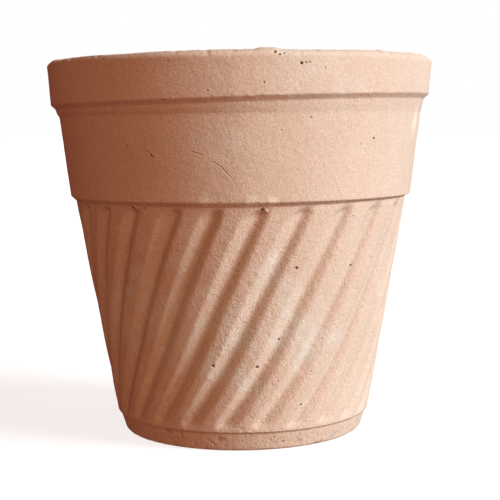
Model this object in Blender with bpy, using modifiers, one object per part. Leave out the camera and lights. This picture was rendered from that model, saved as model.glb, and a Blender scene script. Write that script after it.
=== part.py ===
"""Terracotta flower pot: a heavy lip over a plain collar, and a tapering body with slanting flutes.

It is one piece of fired clay, turned about the Z axis, with a drain hole through its floor.
Units are metres, +Z is up, and the origin is the middle of the foot's underside.
"""

import math

import bpy
from mathutils import Matrix, Vector

NAME = "pot"
COLLECTION = "terracotta_pot"

# Heights above the ground
HEIGHT = 0.193
LIP_BOTTOM = 0.174
LIP_ROOT = 0.1722
COLLAR_TOP = 0.1644
COLLAR_BOTTOM = 0.1231
BODY_TOP = 0.1208
BODY_BOTTOM = 0.0102
FLOOR_TOP = 0.012

# Outer radii at those heights
RIM_RADIUS = 0.1003
LIP_BOTTOM_RADIUS = 0.0983
LIP_ROOT_RADIUS = 0.0964
COLLAR_TOP_RADIUS = 0.0941
COLLAR_BOTTOM_RADIUS = 0.089
BODY_TOP_RADIUS = 0.0864
BODY_BOTTOM_RADIUS = 0.0667
FOOT_RADIUS = 0.0625

# The inside, a plain cone over a flat floor with a drain hole
MOUTH_RADIUS = 0.088
FLOOR_CORNER_RADIUS = 0.056
DRAIN_RADIUS = 0.0115
FLOOR_FILLET = 0.007
LEAST_WALL = 0.003  # a point further than this from the inner cone is on the outside

# Softened edges
LIP_EDGE = 0.0035
MOUTH_EDGE = 0.0025
LIP_LOWER_EDGE = 0.0012
COLLAR_EDGE = 0.0014
BODY_EDGE = 0.0015
FOOT_EDGE = 0.002
DRAIN_EDGE = 0.001

# Flutes: grooves pressed into the body that climb to the right at a steady lean
FLUTES = 26
COLUMNS_PER_FLUTE = 6
FLUTE_LEAN = math.radians(26)
FLUTE_DEPTH = 0.0022
FLUTE_WIDTH = 0.73  # the groove's share of one flute, and the rest is flat land
FLUTE_LOW = 0.0125
FLUTE_HIGH = 0.1195
FLUTE_FADE_LOW = 0.004
FLUTE_FADE_HIGH = 0.007
FLUTE_ROWS = 10
FADE_ROWS = (0.0, 0.4)  # rings in the upper fade, as shares of its height
# A groove's lowest line passes this bearing, from the front towards +X, at the top of the flutes
FLUTE_BEARING = math.radians(6.3)

CLAY_COLOUR = (0.50, 0.24, 0.14, 1.0)
CLAY_ROUGHNESS = 0.92


def remove_scene_objects():
    for item in list(bpy.data.objects):
        bpy.data.objects.remove(item, do_unlink=True)


def body_radius(height):
    """The outer radius of the tapering body, before its flutes."""
    share = (height - BODY_BOTTOM) / (BODY_TOP - BODY_BOTTOM)
    return BODY_BOTTOM_RADIUS + (BODY_TOP_RADIUS - BODY_BOTTOM_RADIUS) * share


def inner_radius(height):
    """The radius of the cone inside, carried on below the floor."""
    share = (height - FLOOR_TOP) / (HEIGHT - FLOOR_TOP)
    return FLOOR_CORNER_RADIUS + (MOUTH_RADIUS - FLOOR_CORNER_RADIUS) * share


def rounded_corner(corner, before, after, radius, segments):
    """Points of the arc that rounds a corner of an outline between two neighbouring points."""
    corner = Vector(corner)
    to_before = (Vector(before) - corner).normalized()
    to_after = (Vector(after) - corner).normalized()
    half_angle = to_before.angle(to_after) / 2
    reach = radius / math.tan(half_angle)
    centre = corner + (to_before + to_after).normalized() * (radius / math.sin(half_angle))
    first = corner + to_before * reach - centre
    last = corner + to_after * reach - centre
    points = []
    for step in range(segments + 1):
        spoke = first.lerp(last, step / segments)
        # Even steps along the chord, pushed out to the arc, are close enough to even angles
        points.append(tuple(centre + spoke.normalized() * radius))
    return points


def flute_row_heights():
    """Heights of the rings that carry the flutes, top to bottom, closer where the flutes fade."""
    top_fade = [FLUTE_HIGH - FLUTE_FADE_HIGH * share for share in FADE_ROWS]
    highest_full = FLUTE_HIGH - FLUTE_FADE_HIGH
    lowest_full = FLUTE_LOW + FLUTE_FADE_LOW
    spacing = (highest_full - lowest_full) / (FLUTE_ROWS - 1)
    full = [highest_full - spacing * row for row in range(FLUTE_ROWS)]
    return top_fade + full + [FLUTE_LOW]


def pot_profile():
    """The closed outline of the wall as (radius, height): down the outside, under, up the inside."""
    lip_top = (RIM_RADIUS, HEIGHT)
    lip_bottom = (LIP_BOTTOM_RADIUS, LIP_BOTTOM)
    lip_root = (LIP_ROOT_RADIUS, LIP_ROOT)
    collar_top = (COLLAR_TOP_RADIUS, COLLAR_TOP)
    collar_bottom = (COLLAR_BOTTOM_RADIUS, COLLAR_BOTTOM)
    body_top = (BODY_TOP_RADIUS, BODY_TOP)
    body_bottom = (BODY_BOTTOM_RADIUS, BODY_BOTTOM)
    foot = (FOOT_RADIUS, 0.0)
    drain_bottom = (DRAIN_RADIUS, 0.0)
    drain_top = (DRAIN_RADIUS, FLOOR_TOP)
    floor_corner = (FLOOR_CORNER_RADIUS, FLOOR_TOP)
    mouth = (MOUTH_RADIUS, HEIGHT)

    outline = rounded_corner(lip_top, mouth, lip_bottom, LIP_EDGE, 2)
    outline += rounded_corner(lip_bottom, lip_top, lip_root, LIP_LOWER_EDGE, 1)
    outline += [lip_root, collar_top]
    outline += rounded_corner(collar_bottom, collar_top, body_top, COLLAR_EDGE, 1)
    outline += [body_top]
    outline += [(body_radius(height), height) for height in flute_row_heights()]
    outline += rounded_corner(body_bottom, body_top, foot, BODY_EDGE, 1)
    outline += rounded_corner(foot, body_bottom, drain_bottom, FOOT_EDGE, 1)
    outline += rounded_corner(drain_bottom, foot, drain_top, DRAIN_EDGE, 1)
    outline += rounded_corner(drain_top, drain_bottom, floor_corner, DRAIN_EDGE, 1)
    outline += rounded_corner(floor_corner, drain_top, mouth, FLOOR_FILLET, 2)
    outline += rounded_corner(mouth, floor_corner, lip_top, MOUTH_EDGE, 1)
    return outline


def turned_solid(name, outline, steps, collection):
    """An object holding the outline, turned once about Z by a Screw modifier."""
    mesh = bpy.data.meshes.new(name + "_outline")
    points = [(radius, 0.0, height) for radius, height in outline]
    edges = [(index, (index + 1) % len(points)) for index in range(len(points))]
    mesh.from_pydata(points, edges, [])
    solid = bpy.data.objects.new(name + "_outline", mesh)
    collection.objects.link(solid)
    screw = solid.modifiers.new("turn", "SCREW")
    screw.axis = "Z"
    screw.angle = math.tau
    screw.steps = steps
    screw.render_steps = steps
    screw.use_merge_vertices = True
    screw.merge_threshold = 0.00001
    return solid


def flute_turn(height):
    """How far a flute has turned about Z, below its top end: a steady lean on a cone."""
    height = min(max(height, FLUTE_LOW), FLUTE_HIGH)
    taper = (BODY_TOP_RADIUS - BODY_BOTTOM_RADIUS) / (BODY_TOP - BODY_BOTTOM)
    return math.tan(FLUTE_LEAN) / taper * math.log(body_radius(height) / body_radius(FLUTE_HIGH))


def flute_fade(height):
    """1 along the flutes, easing to 0 at both of their ends."""
    low = min(max((height - FLUTE_LOW) / FLUTE_FADE_LOW, 0.0), 1.0)
    high = min(max((FLUTE_HIGH - height) / FLUTE_FADE_HIGH, 0.0), 1.0)
    return math.sin(low * math.pi / 2) * math.sin(high * math.pi / 2)


def groove_share(bearing):
    """How deep the groove is at a bearing before it is turned: 0 on the land, 1 at its lowest line."""
    phase = (bearing - FLUTE_BEARING) * FLUTES / math.tau
    from_bottom = abs(phase - round(phase)) * 2 / FLUTE_WIDTH
    return 0.5 + 0.5 * math.cos(math.pi * min(from_bottom, 1.0))


def press_flutes(mesh):
    """Push the grooves into the outer wall and turn the wall with them; the inside stays as turned."""
    for vertex in mesh.vertices:
        x, y, height = vertex.co
        radius = math.hypot(x, y)
        if radius < inner_radius(height) + LEAST_WALL or height > BODY_TOP:
            continue
        bearing = math.atan2(x, -y)
        depth = FLUTE_DEPTH * flute_fade(height) * groove_share(bearing)
        bearing += flute_turn(height)
        radius -= depth
        vertex.co = (radius * math.sin(bearing), -radius * math.cos(bearing), height)


def clay_material():
    material = bpy.data.materials.new("terracotta")
    material.use_nodes = True
    shader = material.node_tree.nodes["Principled BSDF"]
    shader.inputs["Base Color"].default_value = CLAY_COLOUR
    shader.inputs["Roughness"].default_value = CLAY_ROUGHNESS
    shader.inputs["Metallic"].default_value = 0.0
    return material


def make_pot(collection):
    turned = turned_solid(NAME, pot_profile(), FLUTES * COLUMNS_PER_FLUTE, collection)
    graph = bpy.context.evaluated_depsgraph_get()
    mesh = bpy.data.meshes.new_from_object(turned.evaluated_get(graph))
    bpy.data.objects.remove(turned, do_unlink=True)
    mesh.name = NAME
    # A column of vertices is set on a groove's lowest line, so each groove has the same section
    mesh.transform(Matrix.Rotation(FLUTE_BEARING, 4, "Z"))
    press_flutes(mesh)
    mesh.shade_smooth()
    mesh.set_sharp_from_angle(angle=math.radians(40))
    mesh.materials.append(clay_material())
    pot = bpy.data.objects.new(NAME, mesh)
    collection.objects.link(pot)
    return pot


def main():
    remove_scene_objects()
    collection = bpy.data.collections.new(COLLECTION)
    bpy.context.scene.collection.children.link(collection)
    make_pot(collection)


main()
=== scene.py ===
"""The looks of the terracotta pot: its fine surface, its clay, a pale floor and soft studio light.

One turned body stands for the CAD node "pot". Its outline repeats the CAD outline with finer edges,
and every flaw in the clay is a real dent or lump in the mesh. Bearings run round the pot from the
front, -Y, towards the right, +X. Lengths are metres.
"""

import itertools
import math
import random

import bmesh
import bpy
import numpy as np
from mathutils import Matrix, Vector


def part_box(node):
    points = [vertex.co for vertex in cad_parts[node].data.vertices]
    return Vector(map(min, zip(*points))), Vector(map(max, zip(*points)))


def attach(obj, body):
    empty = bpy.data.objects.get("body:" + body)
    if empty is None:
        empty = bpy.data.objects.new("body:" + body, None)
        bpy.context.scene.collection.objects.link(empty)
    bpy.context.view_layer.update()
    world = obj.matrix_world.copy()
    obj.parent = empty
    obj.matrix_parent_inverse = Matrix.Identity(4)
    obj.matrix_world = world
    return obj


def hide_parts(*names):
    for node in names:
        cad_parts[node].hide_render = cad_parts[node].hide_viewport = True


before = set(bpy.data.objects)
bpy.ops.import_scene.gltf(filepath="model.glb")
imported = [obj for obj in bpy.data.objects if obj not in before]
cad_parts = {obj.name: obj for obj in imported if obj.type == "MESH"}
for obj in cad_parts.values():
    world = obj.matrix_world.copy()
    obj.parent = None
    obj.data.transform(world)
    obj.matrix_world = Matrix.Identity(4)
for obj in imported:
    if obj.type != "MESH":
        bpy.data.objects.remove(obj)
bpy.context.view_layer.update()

pot_low, pot_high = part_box("pot")

# Heights, counted up from the foot or down from the rim, whose places the frame gives
FOOT = pot_low[2]
TOP = pot_high[2]
LIP_BOTTOM = TOP - 0.0190
LIP_ROOT = TOP - 0.0214
COLLAR_TOP = TOP - 0.0286
COLLAR_BOTTOM = TOP - 0.0699
BODY_TOP = TOP - 0.0722
BODY_BOTTOM = FOOT + 0.0102
FOOT_ROOT = FOOT + 0.0092
FLOOR_TOP = FOOT + 0.012

# Radii at those heights
RIM_RADIUS = pot_high[0]
LIP_BOTTOM_RADIUS = 0.0983
LIP_ROOT_RADIUS = 0.0959
COLLAR_TOP_RADIUS = 0.0941
COLLAR_BOTTOM_RADIUS = 0.0890
BODY_TOP_RADIUS = 0.0864
BODY_BOTTOM_RADIUS = 0.0667
FOOT_ROOT_RADIUS = 0.0655
FOOT_RADIUS = 0.0625
MOUTH_RADIUS = 0.088
FLOOR_CORNER_RADIUS = 0.056
DRAIN_RADIUS = 0.0115
RIM_ALLOWANCE = 0.0001  # what the lip's rounded corner takes off its radius

# Rounded edges, down the outside and up the inside
LIP_EDGE = 0.0035
LIP_LOWER_EDGE = 0.0012
LIP_ROOT_EDGE = 0.002
COLLAR_TOP_EDGE = 0.008
COLLAR_EDGE = 0.0014
BODY_TOP_EDGE = 0.001
BODY_EDGE = 0.0009
FOOT_ROOT_EDGE = 0.0008
FOOT_EDGE = 0.002
DRAIN_EDGE = 0.001
FLOOR_FILLET = 0.007
MOUTH_EDGE = 0.0025

# Flutes
FLUTES = 26
FLUTE_LEAN = math.radians(26)
FLUTE_BEARING = math.radians(6.3)  # of one groove's lowest line, where the flutes end at the top
FLUTE_DEPTH = 0.0023
FLUTE_LOW = BODY_BOTTOM + 0.0002
FLUTE_HIGH = BODY_TOP + 0.0003
FLUTE_END = 0.0045  # the height over which a groove runs out
FLUTE_SHALLOW = 0.7  # the grooves' share of their depth at their lower ends
FLUTE_SHALLOW_RISE = 0.02  # the height over which they reach their full depth
# Widths of a groove's two flanks as shares of one flute, at its lower and its upper end
LEFT_FLANK_LOW = 0.32
LEFT_FLANK_HIGH = 0.38
RIGHT_FLANK_LOW = 0.48
RIGHT_FLANK_HIGH = 0.26
# Grooves stray from even places: bearing at their top end and how far they stray, in degrees
STRAYS = (
    (-49.0, 0.0),
    (-35.0, -0.5),
    (-20.0, 1.5),
    (-7.6, 0.0),
    (6.6, 0.3),
    (21.3, 1.2),
    (36.4, 2.4),
    (51.5, 3.7),
    (66.9, 5.2),
    (81.1, 5.6),
    (200.0, 3.0),
)
# Low down the grooves lean over further: the extra turn at their lower ends, and where it starts
CURL = math.radians(6.0)
CURL_TOP = FOOT + 0.058
CREASE_SHADE = 0.16  # how dark the painted shade in a groove's crease is

# The lower edge of the lip hangs lower on one side, by this much at this bearing
LIP_SAG = 0.0042
LIP_SAG_BEARING = math.radians(-80)

LEDGE_LIFT = 0.0010  # the body's top edge reaches this much nearer the collar at +X

FLOOR_GAP = 0.0002  # keeps the floor's surface off the pot's flat underside

# Mesh fineness
COLUMNS = FLUTES * 28
OUTSIDE_STEP = 0.0009
INSIDE_STEP = 0.0024

# Random values at the corners of the cells of the clay noise
LATTICE = np.random.RandomState(11).uniform(-1, 1, (64, 64, 64))
OCTAVE_SHIFT = 17.3

# Unevenness of the hand-pressed wall: height and size of its lumps
SWELLS = ((0.00018, 0.045), (0.00007, 0.012), (0.00004, 0.0035))
CRUMBLE_HEIGHT = 0.00022  # along the lower edges of the lip and the collar
CRUMBLE_SIZE = 0.0022
TEAR_DEPTH = 0.0009  # along the rim
TEAR_SIZE = 0.0035
RING_HEIGHT = 0.00012  # of the rings that turning left inside
RING_SPACING = 0.0085
FOOT_PIT_DEPTH = 0.0005
FOOT_PIT_SIZE = 0.003
DRAG_DEPTH = 0.0005  # of the hollows under the foot
DRAG_SIZE = 0.006
FULL_SHADE_DEPTH = 0.0005  # a pit this deep gets the darkest painted shade

# Flaws on the front: bearing in degrees, height, radius, depth (less than 0 stands proud)
FLAWS = (
    (9.2, TOP - 0.0020, 0.0008, 0.0008),
    (10.5, TOP - 0.0032, 0.0005, 0.0006),
    (11.6, TOP - 0.0021, 0.0006, 0.0007),
    (13.2, TOP - 0.0017, 0.0005, 0.0005),
    (16.4, TOP - 0.0071, 0.0008, 0.0009),
    (17.6, TOP - 0.0068, 0.0005, 0.0005),
    (18.6, TOP - 0.0066, 0.0004, 0.0004),
    (-18.7, TOP - 0.0057, 0.0005, 0.0004),
    (-18.9, TOP - 0.0207, 0.0005, 0.0007),
    (-20.5, TOP - 0.0193, 0.0004, 0.0004),
    (-23.4, TOP - 0.0236, 0.0008, 0.0009),
    (-40.6, TOP - 0.0250, 0.0006, 0.0006),
    (6.4, TOP - 0.0137, 0.0004, 0.0005),
    (-8.4, TOP - 0.0161, 0.0004, 0.0003),
    (43.2, TOP - 0.0412, 0.0007, 0.0007),
    (37.9, TOP - 0.0438, 0.0004, 0.0003),
    (-26.8, TOP - 0.0477, 0.0007, 0.0008),
    (-26.2, TOP - 0.0486, 0.0005, 0.0006),
    (18.5, FOOT + 0.0914, 0.0007, 0.0008),
    (42.2, FOOT + 0.0901, 0.0006, 0.0007),
    (-21.0, FOOT + 0.1030, 0.0004, 0.0005),
    (-11.3, FOOT + 0.0440, 0.0008, 0.0008),
    (5.5, FOOT + 0.0430, 0.0008, 0.0009),
    (24.2, FOOT + 0.0226, 0.0008, 0.0006),
    (0.7, FOOT + 0.0650, 0.0004, 0.0005),
    (13.9, FOOT + 0.0560, 0.0006, 0.0004),
    (-36.7, BODY_TOP - 0.0010, 0.0009, 0.0008),
    (-31.8, BODY_TOP - 0.0006, 0.0005, 0.0006),
    (6.6, BODY_TOP - 0.0012, 0.0008, 0.0007),
    (7.6, BODY_TOP - 0.0018, 0.0011, -0.0006),
    (-35.2, BODY_TOP - 0.0004, 0.0008, -0.0005),
)
FLAW_SQUASH = 1.25  # flaws are wider than they are tall
# A hairline crack across the collar, in two runs: bearing in degrees and height of its bends
CRACKS = (
    ((-14.3, TOP - 0.0461), (-12.6, TOP - 0.0468), (-10.7, TOP - 0.0480)),
    (
        (-9.3, TOP - 0.0506),
        (-7.6, TOP - 0.0514),
        (-5.9, TOP - 0.0527),
        (-4.4, TOP - 0.0553),
        (-2.0, TOP - 0.0597),
    ),
)
CRACK_WIDTH = 0.00016
CRACK_DEPTH = 0.0004
# Lumps left along the hand-wiped rim: bearing in degrees, half width in degrees, height
RIM_LUMPS = (
    (7.5, 5.5, 0.0014),
    (43.0, 3.0, 0.0013),
    (96.0, 5.0, 0.0006),
    (151.0, 3.5, 0.0008),
    (188.0, 6.0, 0.0005),
    (236.0, 3.0, 0.0007),
    (289.0, 5.5, 0.0006),
)
RIM_DROP = 0.0014  # the plain rim lies about this far under its highest lump, and higher at +X
# Grey mineral bloom: bearing in degrees, height, reach, strength
BLOOM = (
    (12.0, FOOT + 0.082, 0.024, 0.9),
    (2.0, FOOT + 0.052, 0.026, 0.9),
    (26.0, FOOT + 0.060, 0.024, 0.8),
    (-14.0, FOOT + 0.060, 0.028, 0.9),
    (-32.0, FOOT + 0.068, 0.036, 1.0),
    (-52.0, FOOT + 0.070, 0.028, 0.8),
    (-4.0, TOP - 0.046, 0.020, 0.35),
    (20.0, TOP - 0.010, 0.028, 0.4),
    (160.0, FOOT + 0.050, 0.030, 0.7),
    (215.0, TOP - 0.045, 0.028, 0.6),
    (120.0, FOOT + 0.100, 0.024, 0.5),
    (265.0, FOOT + 0.070, 0.026, 0.6),
)
# Patches of pale lime, in the same form
CHALK = (
    (3.0, COLLAR_BOTTOM + 0.0010, 0.0035, 0.7),
    (9.5, COLLAR_BOTTOM + 0.0011, 0.0030, 0.8),
    (-11.0, COLLAR_BOTTOM + 0.0009, 0.0030, 0.5),
    (65.0, FOOT + 0.077, 0.008, 0.8),
    (69.0, FOOT + 0.060, 0.006, 0.6),
    (69.0, TOP - 0.034, 0.009, 0.8),
    (172.0, TOP - 0.050, 0.010, 0.8),
    (238.0, FOOT + 0.055, 0.012, 0.8),
)

# Colours of the fired clay and of what lies on it
CLAY_DEEP = (0.60, 0.445, 0.34, 1)
CLAY_LIGHT = (0.64, 0.495, 0.385, 1)
CLAY_BLOTCH = (0.655, 0.515, 0.412, 1)
BLOOM_GREY = (0.64, 0.595, 0.505, 1)
LIME = (0.77, 0.71, 0.57, 1)
PALE_GRAIN = (0.80, 0.66, 0.53, 1)
DARK_GRAIN = (0.28, 0.14, 0.09, 1)
# Painted shade: a dark brown laid into pits, the grooves' creases, the crack, the rim's tears and the
# foot's pits
PAINTED_SHADE_BROWN = (0.09, 0.035, 0.02, 1)


def rounded_corner(corner, before, after, radius, segments):
    """Points of the arc that rounds a corner of an outline between two neighbouring points."""
    corner = Vector(corner)
    to_before = (Vector(before) - corner).normalized()
    to_after = (Vector(after) - corner).normalized()
    half_angle = to_before.angle(to_after) / 2
    reach = radius / math.tan(half_angle)
    centre = corner + (to_before + to_after).normalized() * (radius / math.sin(half_angle))
    first = corner + to_before * reach - centre
    last = corner + to_after * reach - centre
    spokes = [first.lerp(last, step / segments) for step in range(segments + 1)]
    return [centre + spoke.normalized() * radius for spoke in spokes]


def filled_in(points, step):
    """The same run of points, with more between any two that lie further apart than step."""
    run = [points[0]]
    for start, end in zip(points, points[1:]):
        pieces = max(1, math.ceil((end - start).length / step))
        run += [start.lerp(end, piece / pieces) for piece in range(1, pieces + 1)]
    return run


def pot_outline():
    """The closed outline of the wall as (radius, height): down the outside, under, up the inside."""
    lip_top = (RIM_RADIUS + RIM_ALLOWANCE, TOP)
    lip_bottom = (LIP_BOTTOM_RADIUS, LIP_BOTTOM)
    lip_root = (LIP_ROOT_RADIUS, LIP_ROOT)
    collar_top = (COLLAR_TOP_RADIUS, COLLAR_TOP)
    collar_bottom = (COLLAR_BOTTOM_RADIUS, COLLAR_BOTTOM)
    body_top = (BODY_TOP_RADIUS, BODY_TOP)
    body_bottom = (BODY_BOTTOM_RADIUS, BODY_BOTTOM)
    foot_root = (FOOT_ROOT_RADIUS, FOOT_ROOT)
    foot = (FOOT_RADIUS, FOOT)
    drain_bottom = (DRAIN_RADIUS, FOOT)
    drain_top = (DRAIN_RADIUS, FLOOR_TOP)
    floor_corner = (FLOOR_CORNER_RADIUS, FLOOR_TOP)
    mouth = (MOUTH_RADIUS, TOP)

    outside = rounded_corner(lip_top, mouth, lip_bottom, LIP_EDGE, 6)
    outside += rounded_corner(lip_bottom, lip_top, lip_root, LIP_LOWER_EDGE, 4)
    outside += rounded_corner(lip_root, lip_bottom, collar_top, LIP_ROOT_EDGE, 4)
    outside += rounded_corner(collar_top, lip_root, collar_bottom, COLLAR_TOP_EDGE, 4)
    outside += rounded_corner(collar_bottom, collar_top, body_top, COLLAR_EDGE, 5)
    outside += rounded_corner(body_top, collar_bottom, body_bottom, BODY_TOP_EDGE, 3)
    outside += rounded_corner(body_bottom, body_top, foot_root, BODY_EDGE, 4)
    outside += rounded_corner(foot_root, body_bottom, foot, FOOT_ROOT_EDGE, 3)
    outside += rounded_corner(foot, foot_root, drain_bottom, FOOT_EDGE, 4)
    inside = rounded_corner(drain_bottom, foot, drain_top, DRAIN_EDGE, 3)
    inside += rounded_corner(drain_top, drain_bottom, floor_corner, DRAIN_EDGE, 3)
    inside += rounded_corner(floor_corner, drain_top, mouth, FLOOR_FILLET, 6)
    mouth_edge = rounded_corner(mouth, floor_corner, lip_top, MOUTH_EDGE, 5)

    outline = filled_in(outside, OUTSIDE_STEP)
    outline += filled_in([outside[-1]] + inside + mouth_edge[:1], INSIDE_STEP)[1:]
    outline += filled_in(mouth_edge + outside[:1], OUTSIDE_STEP)[1:-1]
    return outline


def turned_mesh(outline, steps):
    """The mesh of the outline turned once about Z by a Screw modifier."""
    line = bpy.data.meshes.new("pot_outline")
    edges = [(index, (index + 1) % len(outline)) for index in range(len(outline))]
    line.from_pydata([(point[0], 0.0, point[1]) for point in outline], edges, [])
    turned = bpy.data.objects.new("pot_outline", line)
    bpy.context.scene.collection.objects.link(turned)
    screw = turned.modifiers.new("turn", "SCREW")
    screw.axis = "Z"
    screw.angle = math.tau
    screw.steps = steps
    screw.render_steps = steps
    screw.use_merge_vertices = True
    screw.merge_threshold = 0.00001
    graph = bpy.context.evaluated_depsgraph_get()
    mesh = bpy.data.meshes.new_from_object(turned.evaluated_get(graph))
    bpy.data.objects.remove(turned, do_unlink=True)
    bpy.data.meshes.remove(line)
    return mesh


def outer_radius(height):
    """The outer radius at a height, with plain straight stretches between the corners."""
    heights = (FOOT, FOOT_ROOT, BODY_BOTTOM, BODY_TOP, COLLAR_BOTTOM, COLLAR_TOP, LIP_BOTTOM, TOP)
    radii = (
        FOOT_RADIUS,
        FOOT_ROOT_RADIUS,
        BODY_BOTTOM_RADIUS,
        BODY_TOP_RADIUS,
        COLLAR_BOTTOM_RADIUS,
        COLLAR_TOP_RADIUS,
        LIP_BOTTOM_RADIUS,
        RIM_RADIUS,
    )
    return np.interp(height, heights, radii)


def on_wall(bearing_degrees, height):
    """The point of the outer wall at a bearing and height."""
    bearing = math.radians(bearing_degrees)
    radius = float(outer_radius(height))
    return Vector((radius * math.sin(bearing), -radius * math.cos(bearing), height))


def scattered_flaws():
    """Pits and a few grains all round the pot, as (point, radius, depth), thicker near the foot."""
    draw = random.Random(26)
    flaws = []
    for _ in range(64):
        height = draw.uniform(BODY_BOTTOM, TOP - 0.004)
        depth = draw.choice((0.0002, 0.0003, 0.0005, -0.0003))
        flaws.append((on_wall(draw.uniform(0, 360), height), draw.uniform(0.0003, 0.0006), depth))
    for _ in range(50):
        height = draw.uniform(FOOT + 0.0015, BODY_BOTTOM - 0.002)
        size = draw.uniform(0.0003, 0.0006)
        flaws.append((on_wall(draw.uniform(0, 360), height), size, size * 0.7))
    return flaws


def all_flaws():
    placed = [(on_wall(bearing, height), radius, depth) for bearing, height, radius, depth in FLAWS]
    return placed + scattered_flaws()


def crack_runs():
    """Points close together along each run of the crack, which wanders a little between its bends."""
    runs = []
    for bends in CRACKS:
        points = np.array(filled_in([on_wall(bearing, height) for bearing, height in bends], 0.0002))
        points[:, 2] += 0.00022 * clay_noise(points, 0.0016)
        runs.append(points)
    return runs


def vertex_array(mesh, name="co"):
    values = np.empty(len(mesh.vertices) * 3, np.float32)
    mesh.vertices.foreach_get(name, values)
    return values.reshape(-1, 3).astype(float)


def refine_near(mesh, spots, reach):
    """Halve the faces that lie within reach of any of the spots."""
    centres = np.empty(len(mesh.polygons) * 3, np.float32)
    mesh.polygons.foreach_get("center", centres)
    centres = centres.reshape(-1, 3)
    near = np.zeros(len(centres), bool)
    for spot in spots:
        near |= ((centres - np.array(spot)) ** 2).sum(axis=1) < reach**2
    work = bmesh.new()
    work.from_mesh(mesh)
    work.faces.ensure_lookup_table()
    edges = {edge for index in np.flatnonzero(near) for edge in work.faces[index].edges}
    edges = sorted(edges, key=lambda edge: edge.index)
    bmesh.ops.subdivide_edges(work, edges=edges, cuts=1, use_grid_fill=True)
    work.to_mesh(mesh)
    work.free()


def smooth_step(value, low, high):
    share = np.clip((value - low) / (high - low), 0.0, 1.0)
    return share * share * (3 - 2 * share)


def eased_ramp(share, ease):
    """From 0 to 1 at one steady slope, rounded off over the given share at each end."""
    share = np.clip(share, 0.0, 1.0)
    slope = 1 / (1 - ease)
    start = slope * share**2 / (2 * ease)
    middle = slope * (share - ease / 2)
    end = 1 - slope * (1 - share) ** 2 / (2 * ease)
    return np.where(share < ease, start, np.where(share > 1 - ease, end, middle))


def clay_noise(points, size, octaves=2):
    """Smooth noise, roughly from -1 to 1, whose lumps are about size across."""
    total = np.zeros(len(points))
    for octave in range(octaves):
        scaled = points * 2**octave / size + OCTAVE_SHIFT * octave
        corner = np.floor(scaled).astype(int)
        share = scaled - corner
        share = share * share * (3 - 2 * share)
        value = np.zeros(len(points))
        for step in itertools.product((0, 1), repeat=3):
            cell = (corner + step) % len(LATTICE)
            weight = np.prod(np.where(step, share, 1 - share), axis=1)
            value += weight * LATTICE[cell[:, 0], cell[:, 1], cell[:, 2]]
        total += value / 2**octave
    return total


def flute_relief(bearing, height):
    """The grooves' depth and the painted shade in their creases: a long left flank, a short right one.
    """
    taper = (BODY_TOP_RADIUS - BODY_BOTTOM_RADIUS) / (BODY_TOP - BODY_BOTTOM)
    radius = BODY_BOTTOM_RADIUS + taper * (np.clip(height, FLUTE_LOW, FLUTE_HIGH) - BODY_BOTTOM)
    top_radius = BODY_BOTTOM_RADIUS + taper * (FLUTE_HIGH - BODY_BOTTOM)
    turn = math.tan(FLUTE_LEAN) / taper * np.log(radius / top_radius)
    turn -= CURL * (np.clip(CURL_TOP - height, 0, None) / (CURL_TOP - FLUTE_LOW)) ** 2
    places, shifts = np.radians(STRAYS).T
    stray = np.interp(bearing - turn, places, shifts, period=math.tau)
    phase = (bearing - FLUTE_BEARING - turn - stray) * FLUTES / math.tau
    flute = np.round(phase).astype(int)
    draw = np.random.RandomState(7)
    phase = phase - flute + draw.uniform(-0.025, 0.025, FLUTES)[flute % FLUTES]
    depth = FLUTE_DEPTH * draw.uniform(0.92, 1.08, FLUTES)[flute % FLUTES]

    climb = np.clip((height - FLUTE_LOW) / (FLUTE_HIGH - FLUTE_LOW), 0, 1)
    left_flank = LEFT_FLANK_LOW + (LEFT_FLANK_HIGH - LEFT_FLANK_LOW) * climb
    right_flank = RIGHT_FLANK_LOW + (RIGHT_FLANK_HIGH - RIGHT_FLANK_LOW) * climb
    left = np.clip(-phase / left_flank, 0, 1)
    right = np.clip(phase / right_flank, 0, 1)
    section = 1 - np.where(phase < 0, eased_ramp(left, 0.22), eased_ramp(right, 0.38))
    rise = np.clip((height - FLUTE_LOW) / FLUTE_SHALLOW_RISE, 0, 1)
    depth = depth * (FLUTE_SHALLOW + (1 - FLUTE_SHALLOW) * rise)
    upper_end = FLUTE_HIGH - 0.005 * left**2
    lower_end = FLUTE_LOW + 0.002 * left**2
    top_fade = eased_ramp((upper_end - height) / FLUTE_END, 0.4)
    bottom_fade = eased_ramp((height - lower_end) / FLUTE_END, 0.4)
    # Painted shade along each groove's crease, just right of its lowest line
    crease_shade = CREASE_SHADE * np.exp(-(((phase - 0.1) / 0.06) ** 2))
    return depth * section * top_fade * bottom_fade, crease_shade * top_fade * bottom_fade


def flaw_relief(points, relief, painted_shade):
    """Press the pits and lumps, and paint shade into each pit, darker the deeper it is."""
    for spot, radius, depth in all_flaws():
        offset = points - np.array(spot)
        offset[:, 2] *= FLAW_SQUASH
        near = np.flatnonzero((offset**2).sum(axis=1) < (radius * 2.2) ** 2)
        if len(near) == 0:
            continue
        ragged = 1 + 0.35 * clay_noise(points[near], radius * 1.2, 1)
        away = np.sqrt((offset[near] ** 2).sum(axis=1)) / (1.15 * radius * ragged)
        bowl = 1 - smooth_step(away, 0.35, 1.25)
        relief[near] -= depth * bowl
        if depth > 0:
            painted_shade[near] = np.maximum(painted_shade[near], bowl * min(1.0, depth / FULL_SHADE_DEPTH))


def crack_relief(points, relief, painted_shade):
    """Cut the crack, which is deepest along the middle of each run, and paint shade along it."""
    for path in crack_runs():
        around = np.flatnonzero(((points - path.mean(axis=0)) ** 2).sum(axis=1) < 0.012**2)
        for index in around:
            away = np.sqrt(((path - points[index]) ** 2).sum(axis=1))
            nearest = int(away.argmin())
            along = (nearest + 1) / (len(path) + 1)
            groove = math.sin(math.pi * along) * (1 - smooth_step(away[nearest], 0.0, CRACK_WIDTH * 2))
            relief[index] -= CRACK_DEPTH * groove
            # Painted shade in the crack, darkest where it is cut deepest
            painted_shade[index] = max(painted_shade[index], 0.7 * groove)


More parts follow.
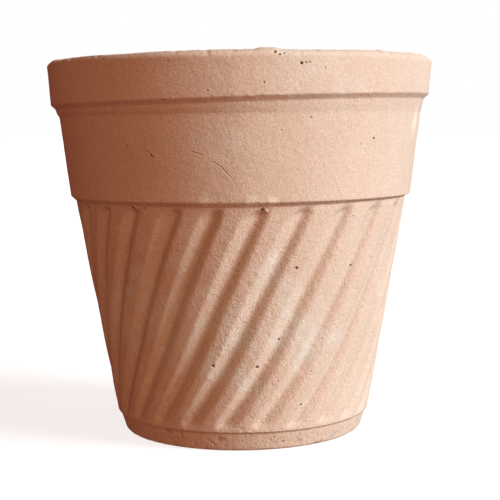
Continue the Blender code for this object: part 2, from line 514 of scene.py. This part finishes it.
def rim_relief(bearing, points):
    """How far the top of the rim stands over its lowest level: soft lumps and a slight sway."""
    rise = RIM_DROP * (0.42 + 0.36 * np.sin(bearing)) + 0.0002 * clay_noise(points, 0.03, 2)
    for middle, half_width, height in RIM_LUMPS:
        away = np.degrees(np.abs(np.angle(np.exp(1j * (bearing - math.radians(middle))))))
        rise = np.maximum(rise, height * (1 - smooth_step(away, half_width * 0.25, half_width)))
    return np.minimum(rise, RIM_DROP)


def stain_shares(stains, bearing, height, points):
    """How strongly a kind of stain shows at each point: soft, patchy blots with ragged edges."""
    share = np.zeros(len(points))
    ragged = clay_noise(points, 0.008, 4)
    for middle, level, reach, strength in stains:
        turn = np.angle(np.exp(1j * (bearing - math.radians(middle))))
        away = np.hypot(turn * outer_radius(level), height - level) / reach - 0.4 * ragged
        share = np.maximum(share, strength * (1 - smooth_step(away, 0.1, 1.0)))
    return np.clip(share * (0.7 + 0.5 * ragged), 0, 1)


def add_attribute(mesh, name, values):
    attribute = mesh.attributes.new(name, "FLOAT", "POINT")
    attribute.data.foreach_set("value", values.astype(np.float32))


def shape_clay(mesh):
    """Give the smooth turned pot its flutes, its uneven rim and its rough hand-pressed surface."""
    points = vertex_array(mesh)
    normals = np.empty(len(mesh.vertices) * 3, np.float32)
    mesh.vertex_normals.foreach_get("vector", normals)
    normals = normals.reshape(-1, 3).astype(float)
    x, y, height = points.T
    radius = np.hypot(x, y)
    bearing = np.arctan2(x, -y)
    outside = radius > outer_radius(height) - 0.0045
    under = height < FOOT + 0.0001
    outward = (normals[:, 0] * x + normals[:, 1] * y) / radius
    relief = np.zeros(len(points))
    painted_shade = np.zeros(len(points))

    fluted = outside & (height > FLUTE_LOW - 0.001) & (height < FLUTE_HIGH)
    # The grooves, and the painted shade in their creases
    groove, crease_shade = flute_relief(bearing[fluted], height[fluted])
    relief[fluted] -= groove
    painted_shade[fluted] = crease_shade

    swell = sum(rise * clay_noise(points, size) for rise, size in SWELLS)
    relief += np.where(under, 0.0, swell)

    lip_edge = np.exp(-(((height - LIP_BOTTOM + 0.0003) / 0.0016) ** 2)) * outside
    collar_edge = np.exp(-(((height - COLLAR_BOTTOM - 0.0004) / 0.0012) ** 2)) * outside
    crumbly = np.clip(clay_noise(points, CRUMBLE_SIZE, 3), -0.7, 0.9)
    patches = 0.6 + 0.5 * clay_noise(points, 0.03)
    relief += CRUMBLE_HEIGHT * crumbly * np.clip(patches, 0.15, 1) * (lip_edge + 0.7 * collar_edge)

    near_rim = smooth_step(height, TOP - 0.0045, TOP - 0.0015)
    torn = np.clip(clay_noise(points, TEAR_SIZE, 3) - 0.42, 0, 1)
    relief -= TEAR_DEPTH * torn * near_rim * (normals[:, 2] > 0.05)
    # Painted shade in the rim's torn hollows
    painted_shade = np.maximum(painted_shade, 0.2 * np.clip(torn * 2.2 - 0.2, 0, 1) * near_rim)

    inside = ~outside & ~under & (outward < -0.5)
    rings = np.sin(height / RING_SPACING * math.tau + 2.5 * clay_noise(points, 0.05, 1))
    relief += np.where(inside, RING_HEIGHT * rings, 0.0)

    low_foot = outside & (height < BODY_BOTTOM - 0.001) & ~under
    rough = np.clip(clay_noise(points, FOOT_PIT_SIZE, 3) - 0.25, 0, 1)
    relief -= np.where(low_foot, FOOT_PIT_DEPTH * rough, 0.0)
    # Painted shade in the foot's pits
    painted_shade = np.maximum(painted_shade, np.where(low_foot, 0.3 * np.clip(rough * 2 - 0.25, 0, 1), 0))

    flaw_relief(points, relief, painted_shade)
    crack_relief(points, relief, painted_shade)

    points += normals * relief[:, None]
    lip_share = 1 - smooth_step(np.abs(height - LIP_BOTTOM), 0.003, 0.012)
    sag = LIP_SAG * (0.5 + 0.5 * np.cos(bearing - LIP_SAG_BEARING))
    points[:, 2] -= np.where(outside, sag * lip_share, 0)
    ledge_share = 1 - smooth_step(np.abs(height - BODY_TOP), 0.0002, 0.0024)
    lift = LEDGE_LIFT * np.clip(np.sin(bearing), 0, None)
    points[:, 2] += np.where(outside, lift * ledge_share, 0)
    top_share = smooth_step(height, TOP - 0.006, TOP - 0.0002)
    points[:, 2] += top_share * (rim_relief(bearing, points) - RIM_DROP)
    # Clay under the foot is rubbed flat where it stands and dragged into shallow hollows elsewhere
    drag = np.clip(clay_noise(points, DRAG_SIZE, 3) + 0.15, 0, 1) * DRAG_DEPTH
    points[:, 2] += np.where(under, drag * (1 - smooth_step(radius, 0.050, 0.058)), 0)
    points[:, 2] = np.clip(points[:, 2], FOOT, TOP)
    mesh.vertices.foreach_set("co", points.astype(np.float32).ravel())
    # Painted shade, darker in pits, creases, the crack and torn hollows
    add_attribute(mesh, "painted_shade", painted_shade)
    add_attribute(mesh, "grit", np.where(outside & (height > COLLAR_BOTTOM), 0.6, 1.0))
    add_attribute(mesh, "bloom", stain_shares(BLOOM, bearing, height, points) * outside)
    add_attribute(mesh, "chalk", stain_shares(CHALK, bearing, height, points) * outside)
    mesh.update()


def make_pot():
    mesh = turned_mesh(pot_outline(), COLUMNS)
    spots = [spot for spot, _, _ in all_flaws()]
    crack = [point for run in crack_runs() for point in run]
    refine_near(mesh, spots, 0.0024)
    refine_near(mesh, crack[::5], 0.0020)
    refine_near(mesh, spots, 0.0016)
    refine_near(mesh, crack[::3], 0.0012)
    refine_near(mesh, crack, 0.0006)
    shape_clay(mesh)
    mesh.shade_smooth()
    pot = bpy.data.objects.new("fired_clay_pot", mesh)
    bpy.context.scene.collection.objects.link(pot)
    return pot


class Shader:
    """A short way to add nodes to a material and join them."""

    def __init__(self, name):
        self.material = bpy.data.materials.new(name)
        self.material.use_nodes = True
        self.tree = self.material.node_tree
        self.surface = self.tree.nodes["Principled BSDF"]

    def add(self, kind, output, inputs, **settings):
        """A node with its settings and inputs, each a value or another node's output."""
        node = self.tree.nodes.new("ShaderNode" + kind)
        for setting, value in settings.items():
            setattr(node, setting, value)
        for key, value in inputs.items():
            self.join(value, node.inputs[key])
        return node.outputs[output]

    def join(self, value, socket):
        if isinstance(value, bpy.types.NodeSocket):
            self.tree.links.new(value, socket)
        else:
            socket.default_value = value

    def place(self):
        return self.add("TexCoord", "Object", {})

    def grain(self, size, detail=2.0, roughness=0.5):
        """Noise from 0 to 1, whose lumps are about size across."""
        inputs = {"Vector": self.place(), "Scale": 1 / size, "Detail": detail, "Roughness": roughness}
        return self.add("TexNoise", "Fac", inputs)

    def spots(self, size):
        """The distance to the nearest of many random points, in cells of that size."""
        inputs = {"Vector": self.place(), "Scale": 1 / size, "Randomness": 1.0}
        return self.add("TexVoronoi", "Distance", inputs)

    def remap(self, value, low, high, new_low=0.0, new_high=1.0):
        inputs = {"Value": value, 1: low, 2: high, 3: new_low, 4: new_high}
        return self.add("MapRange", "Result", inputs)

    def maths(self, operation, first, second):
        return self.add("Math", "Value", {0: first, 1: second}, operation=operation)

    def mix(self, share, first, second, blend="MIX"):
        """Two colours mixed, the second by its share."""
        inputs = {"Factor": share, 6: first, 7: second}
        return self.add("Mix", 2, inputs, data_type="RGBA", blend_type=blend)


def clay_material():
    """Unglazed terracotta: mottled, sandy, with pale and dark grains, bloom, and painted shade in the
    pits, creases and crack.
    """
    clay = Shader("fired_terracotta")
    mottle = clay.remap(clay.grain(0.045, 3.0, 0.6), 0.3, 0.7)
    colour = clay.mix(mottle, CLAY_DEEP, CLAY_LIGHT)
    blotches = clay.remap(clay.grain(0.009, 4.0, 0.65), 0.35, 0.7, 0.0, 0.30)
    colour = clay.mix(blotches, colour, CLAY_BLOTCH)

    bloom = clay.add("Attribute", "Fac", {}, attribute_name="bloom")
    colour = clay.mix(clay.maths("MULTIPLY", bloom, 0.85), colour, BLOOM_GREY)
    chalk = clay.add("Attribute", "Fac", {}, attribute_name="chalk")
    colour = clay.mix(clay.maths("MULTIPLY", chalk, 0.85), colour, LIME)

    sand = clay.remap(clay.grain(0.0009, 2.0, 0.6), 0.3, 0.7, 0.87, 1.12)
    sand_colour = clay.add("CombineColor", "Color", {0: sand, 1: sand, 2: sand})
    colour = clay.mix(1.0, colour, sand_colour, "MULTIPLY")

    # Grains show in some patches and are missing in others
    grit = clay.add("Attribute", "Fac", {}, attribute_name="grit")
    patches = clay.maths("MULTIPLY", clay.remap(clay.grain(0.006, 2.0, 0.6), 0.42, 0.6), grit)
    pale = clay.remap(clay.spots(0.0026), 0.08, 0.18, 0.6, 0.0)
    colour = clay.mix(clay.maths("MULTIPLY", pale, patches), colour, PALE_GRAIN)
    dark = clay.remap(clay.spots(0.0037), 0.06, 0.13, 0.65, 0.0)
    colour = clay.mix(clay.maths("MULTIPLY", dark, patches), colour, DARK_GRAIN)

    # Painted shade: pits, creases, the crack and tears darkened with brown
    painted_shade = clay.add("Attribute", "Fac", {}, attribute_name="painted_shade")
    colour = clay.mix(clay.maths("MULTIPLY", painted_shade, 0.9), colour, PAINTED_SHADE_BROWN)
    clay.join(colour, clay.surface.inputs["Base Color"])

    roughness = clay.remap(clay.grain(0.02, 3.0, 0.6), 0.3, 0.7, 0.86, 0.96)
    clay.join(roughness, clay.surface.inputs["Roughness"])
    clay.surface.inputs["Specular IOR Level"].default_value = 0.2

    coarse_inputs = {"Height": clay.grain(0.0026, 3.0, 0.65), "Distance": 0.00042, "Strength": grit}
    coarse = clay.add("Bump", "Normal", coarse_inputs)
    fine_inputs = {
        "Height": clay.grain(0.0009, 2.0, 0.6),
        "Distance": 0.00025,
        "Strength": grit,
        "Normal": coarse,
    }
    clay.join(clay.add("Bump", "Normal", fine_inputs), clay.surface.inputs["Normal"])
    return clay.material


def make_floor():
    """A pale floor that glows softly, like a lit table, so the shadow on it stays light."""
    mesh = bpy.data.meshes.new("studio_floor")
    work = bmesh.new()
    bmesh.ops.create_circle(work, cap_ends=True, segments=96, radius=30.0)
    work.to_mesh(mesh)
    work.free()
    floor = bpy.data.objects.new("studio_floor", mesh)
    bpy.context.scene.collection.objects.link(floor)
    floor.location.z = FOOT - FLOOR_GAP
    # Its light stays off the pot, which the lamps light alone
    floor.visible_diffuse = False
    floor.visible_glossy = False
    pale = Shader("pale_floor")
    pale.surface.inputs["Base Color"].default_value = (0.40, 0.41, 0.42, 1)
    pale.surface.inputs["Roughness"].default_value = 0.9
    pale.surface.inputs["Emission Color"].default_value = (0.97, 1.0, 1.0, 1)
    pale.surface.inputs["Emission Strength"].default_value = 0.60
    floor.data.materials.append(pale.material)


def make_camera():
    """The camera stands in front, a little below the rim, and looks slightly down."""
    data = bpy.data.cameras.new("camera")
    data.sensor_width = 36.0
    data.lens = 88.2
    camera = bpy.data.objects.new("camera", data)
    bpy.context.scene.collection.objects.link(camera)
    swing = Matrix.Rotation(math.radians(-0.41), 4, "Z")
    tilt = Matrix.Rotation(math.radians(90 - 5.66), 4, "X")
    roll = Matrix.Rotation(math.radians(-0.61), 4, "Z")
    camera.matrix_world = Matrix.Translation((0, -0.6491, 0.1569)) @ swing @ tilt @ roll
    bpy.context.scene.camera = camera


def make_sun(name, bearing, elevation, spread, energy, colour):
    """A far, broad light from a bearing and elevation; spread is how wide it looks from the pot."""
    data = bpy.data.lights.new(name, "SUN")
    data.angle = math.radians(spread)
    data.energy = energy
    data.color = colour
    light = bpy.data.objects.new(name, data)
    bpy.context.scene.collection.objects.link(light)
    bearing, elevation = math.radians(bearing), math.radians(elevation)
    away = Vector((math.sin(bearing), -math.cos(bearing), math.tan(elevation))).normalized()
    light.location = away
    light.rotation_mode = "QUATERNION"
    light.rotation_quaternion = away.to_track_quat("Z", "Y")
    return data


def make_world():
    """A white backdrop for the camera, and a faint red glow for the pot's shaded side."""
    world = bpy.data.worlds.new("studio")
    world.use_nodes = True
    tree = world.node_tree
    tree.nodes.clear()
    glow = tree.nodes.new("ShaderNodeBackground")
    glow.inputs["Color"].default_value = (1.0, 0.22, 0.14, 1)
    glow.inputs["Strength"].default_value = 0.18
    backdrop = tree.nodes.new("ShaderNodeBackground")
    backdrop.inputs["Color"].default_value = (1.0, 1.0, 1.0, 1)
    seen = tree.nodes.new("ShaderNodeLightPath")
    chosen = tree.nodes.new("ShaderNodeMixShader")
    result = tree.nodes.new("ShaderNodeOutputWorld")
    tree.links.new(seen.outputs["Is Camera Ray"], chosen.inputs["Fac"])
    tree.links.new(glow.outputs["Background"], chosen.inputs[1])
    tree.links.new(backdrop.outputs["Background"], chosen.inputs[2])
    tree.links.new(chosen.outputs["Shader"], result.inputs["Surface"])
    bpy.context.scene.world = world


def make_studio():
    make_floor()
    make_camera()
    make_world()
    make_sun("key", 69, 22, 30, 5.3, (0.78, 0.92, 1.0))
    make_sun("fill", 0, 4, 100, 1.3, (1.0, 0.62, 0.36))
    # The light on the back throws no shadow, which would fall on the floor in front
    make_sun("back", 176, 25, 8, 2.6, (1.0, 0.93, 0.86)).use_shadow = False
    bpy.context.scene.view_settings.view_transform = "Standard"


make_studio()
clay_pot = make_pot()
clay_pot.data.materials.append(clay_material())
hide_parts("pot")
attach(clay_pot, "root")
